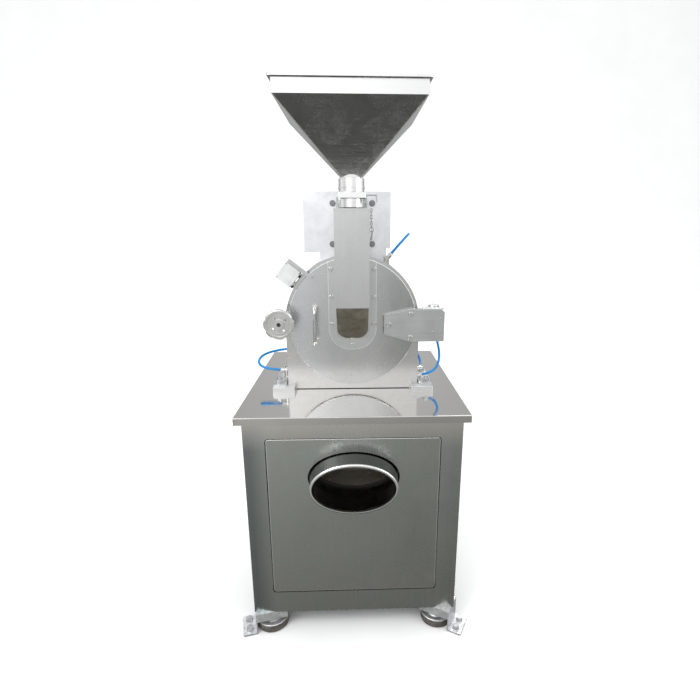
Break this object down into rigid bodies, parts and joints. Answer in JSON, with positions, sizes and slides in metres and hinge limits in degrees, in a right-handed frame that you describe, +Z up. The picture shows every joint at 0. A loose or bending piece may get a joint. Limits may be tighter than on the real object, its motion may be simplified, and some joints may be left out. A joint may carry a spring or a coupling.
{
  "type": "hammer mill",
  "caption": "Hammer mill on a polished steel cabinet: square hopper with slide gate, feed chute on a hinged round door, swinging hammers over a sieve, and an oval discharge spout.",
  "frame": {"origin": "bottom centre of the bounding box, on the floor between the four feet", "axes": "+Z up, -Y towards the operator (front panel, spout and chamber door), +X to the right as seen by the operator"},
  "size_m": [0.675, 0.737, 1.4665],
  "materials": {
    "stainless_satin": "brushed satin stainless sheet and plate",
    "stainless_mirror": "mirror-polished stainless table top",
    "stainless_bright": "bright turned or buffed stainless",
    "hard_steel": "hardened steel, ground",
    "frame_steel": "grey painted square tube",
    "zinc_steel": "zinc plated",
    "cast_iron": "cast iron, machined",
    "motor_alloy": "grey-blue painted alloy motor frame",
    "rubber_black": "black rubber",
    "belt_rubber": "black V-belt rubber",
    "gasket": "grey silicone seal",
    "hose_blue": "bright blue polyurethane hose",
    "fitting_nickel": "nickel-plated brass",
    "switch_grey": "light grey plastic"
  },
  "bodies": {
    "machine": {"table_top": "stainless_mirror", "cabinet_side_left": "stainless_satin", "cabinet_side_right": "stainless_satin", "cabinet_back": "stainless_satin", "cabinet_front_frame": "stainless_satin", "base_frame": "frame_steel", "foot_pads": "rubber_black", "foot_cups": "zinc_steel", "foot_brackets": "zinc_steel", "foot_bracket_bolts": "zinc_steel", "discharge_hopper": "stainless_satin", "discharge_spout": "stainless_bright", "chamber_front_plate": "stainless_satin", "chamber_shell": "stainless_satin", "chamber_back_plate": "stainless_satin", "chamber_foot_rails": "stainless_satin", "chamber_foot_bolts": "zinc_steel", "toothed_liner": "hard_steel", "sieve_screen": "stainless_satin", "bearing_housing": "cast_iron", "bearings": "hard_steel", "v_belts": "belt_rubber", "motor_body": "motor_alloy", "motor_terminal_box": "motor_alloy", "belt_guard": "stainless_satin", "support_plate": "stainless_satin", "hopper_bracket": "stainless_satin", "support_plate_bolts": "zinc_steel", "hopper": "stainless_satin", "hopper_neck": "stainless_bright", "gate_housing": "stainless_satin", "hinge_base": "stainless_satin", "clamp_boss": "stainless_satin", "switch_box": "switch_grey", "hose_left": "hose_blue", "hose_right": "hose_blue", "hose_right_inner": "hose_blue", "hose_top": "hose_blue", "water_fittings": "fitting_nickel"},
    "front_panel": {"front_panel": "stainless_satin"},
    "door": {"door_plate": "stainless_satin", "door_gasket": "gasket", "feed_chute": "stainless_satin", "door_screws": "zinc_steel", "pull_handle": "stainless_bright", "hinge_bracket": "stainless_satin", "hinge_pin": "stainless_bright", "switch_actuator": "stainless_satin"},
    "clamp_collar": {"clamp_collar": "stainless_bright"},
    "handwheel": {"handwheel": "stainless_bright"},
    "gate": {"gate_slide": "stainless_satin"},
    "rotor": {"rotor_shaft": "hard_steel", "rotor_discs": "hard_steel", "rotor_pulley": "cast_iron"},
    "motor_rotor": {"motor_shaft": "hard_steel", "motor_pulley": "cast_iron"},
    "hammers_1": {"hammer_pack_1": "hard_steel"},
    "hammers_2": {"hammer_pack_2": "hard_steel"},
    "hammers_3": {"hammer_pack_3": "hard_steel"},
    "hammers_4": {"hammer_pack_4": "hard_steel"}
  },
  "joints": [
    {"name": "front_panel_lift_off", "type": "slide", "parent": "machine", "child": "front_panel", "axis": [0, -1, 0], "range_m": [0, 0.12]},
    {"name": "door_hinge", "type": "hinge", "parent": "machine", "child": "door", "pos_m": [0.241, -0.058, 0.868], "axis": [0, 0, 1], "range_deg": [0, 110]},
    {"name": "clamp_feed", "type": "slide", "parent": "door", "child": "clamp_collar", "axis": [0, 1, 0], "range_m": [0, 0.01201]},
    {"name": "handwheel_spin", "type": "hinge", "parent": "clamp_collar", "child": "handwheel", "pos_m": [-0.2025, -0.14, 0.8845], "axis": [0, 1, 0], "range_deg": [0, 1080]},
    {"name": "gate_pull", "type": "slide", "parent": "machine", "child": "gate", "axis": [1, 0, 0], "range_m": [0, 0.062]},
    {"name": "rotor_spin", "type": "hinge", "parent": "machine", "child": "rotor", "pos_m": [0, 0.1, 0.876], "axis": [0, 1, 0], "continuous": true},
    {"name": "motor_spin", "type": "hinge", "parent": "machine", "child": "motor_rotor", "pos_m": [0, 0.2, 0.25], "axis": [0, 1, 0], "continuous": true},
    {"name": "hammer_swing_1", "type": "hinge", "parent": "rotor", "child": "hammers_1", "pos_m": [0.05657, -0.031, 0.93257], "axis": [0, 1, 0], "range_deg": [-20, 6.5]},
    {"name": "hammer_swing_2", "type": "hinge", "parent": "rotor", "child": "hammers_2", "pos_m": [-0.05657, -0.031, 0.93257], "axis": [0, 1, 0], "range_deg": [-6.5, 20]},
    {"name": "hammer_swing_3", "type": "hinge", "parent": "rotor", "child": "hammers_3", "pos_m": [-0.05657, -0.031, 0.81943], "axis": [0, 1, 0], "range_deg": [-20, 20]},
    {"name": "hammer_swing_4", "type": "hinge", "parent": "rotor", "child": "hammers_4", "pos_m": [0.05657, -0.031, 0.81943], "axis": [0, 1, 0], "range_deg": [-20, 20]}
  ],
  "couplings": [
    {"joint": "clamp_feed", "follows": "handwheel_spin", "m_per_rad": 0.00063662},
    {"joint": "motor_spin", "follows": "rotor_spin", "ratio": 0.75}
  ]
}
